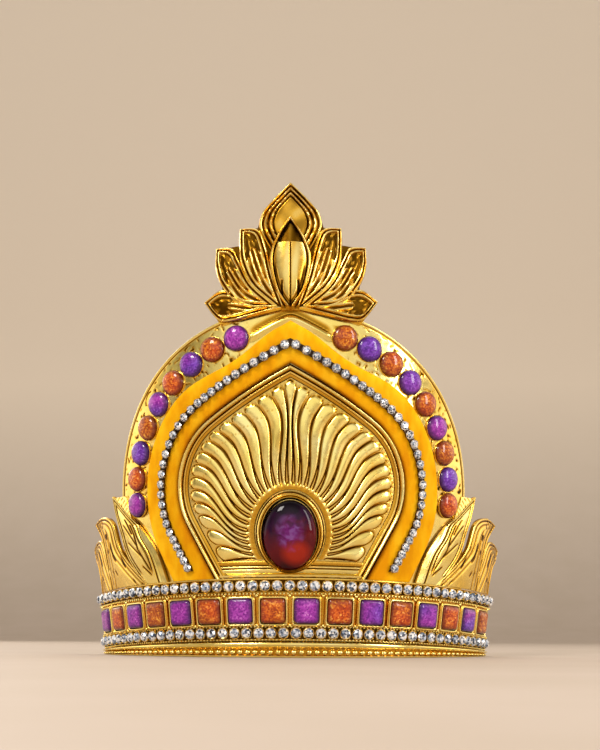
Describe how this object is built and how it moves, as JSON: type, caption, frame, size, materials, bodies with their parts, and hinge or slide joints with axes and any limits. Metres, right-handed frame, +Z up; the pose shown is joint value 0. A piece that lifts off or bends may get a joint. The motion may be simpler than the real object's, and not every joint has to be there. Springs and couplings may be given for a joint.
{
  "type": "deity crown",
  "caption": "Gilt crown for a deity figure: a curved front with a lotus on top, leaf sprays, a velvet arch, rhinestone chains and violet and amber stones.",
  "frame": {"origin": "under the middle of the crown, on the floor that its rim stands on", "axes": "+Z up, -Y to the front of the crown, +X to the right as seen from the front"},
  "size_m": [0.1584, 0.0752, 0.16],
  "materials": {
    "gilt_metal": "polished gold plating",
    "velvet": "short velvet pile",
    "rhinestone": "cut and foiled, in metal cups",
    "violet_stone": "clear resin over violet glitter",
    "amber_stone": "clear resin over amber glitter",
    "oval_stone": "polished dark violet dome"
  },
  "bodies": {
    "root": {"face_sheet": "gilt_metal", "base_rim": "gilt_metal", "base_band": "gilt_metal", "panel_frame": "gilt_metal", "ray_panel": "gilt_metal", "oval_bezel": "gilt_metal", "leaf_spray_left": "gilt_metal", "leaf_spray_right": "gilt_metal", "lotus_finial": "gilt_metal", "velvet_arch": "velvet", "lower_chain": "rhinestone", "upper_chain": "rhinestone", "arch_chain": "rhinestone", "oval_stone": "oval_stone", "square_stone_01": "violet_stone", "square_stone_02": "amber_stone", "square_stone_03": "violet_stone", "square_stone_04": "amber_stone", "square_stone_05": "violet_stone", "square_stone_06": "amber_stone", "square_stone_07": "violet_stone", "square_stone_08": "amber_stone", "square_stone_09": "violet_stone", "square_stone_10": "amber_stone", "square_stone_11": "violet_stone", "square_stone_12": "amber_stone", "square_stone_13": "violet_stone", "square_stone_14": "amber_stone", "square_stone_15": "violet_stone", "square_stone_16": "amber_stone", "round_stone_left_1": "violet_stone", "round_stone_left_2": "amber_stone", "round_stone_left_3": "violet_stone", "round_stone_left_4": "amber_stone", "round_stone_left_5": "violet_stone", "round_stone_left_6": "amber_stone", "round_stone_left_7": "violet_stone", "round_stone_left_8": "amber_stone", "round_stone_left_9": "violet_stone", "round_stone_right_1": "amber_stone", "round_stone_right_2": "violet_stone", "round_stone_right_3": "amber_stone", "round_stone_right_4": "violet_stone", "round_stone_right_5": "amber_stone", "round_stone_right_6": "violet_stone", "round_stone_right_7": "amber_stone", "round_stone_right_8": "violet_stone", "round_stone_right_9": "amber_stone"}
  },
  "joints": []
}
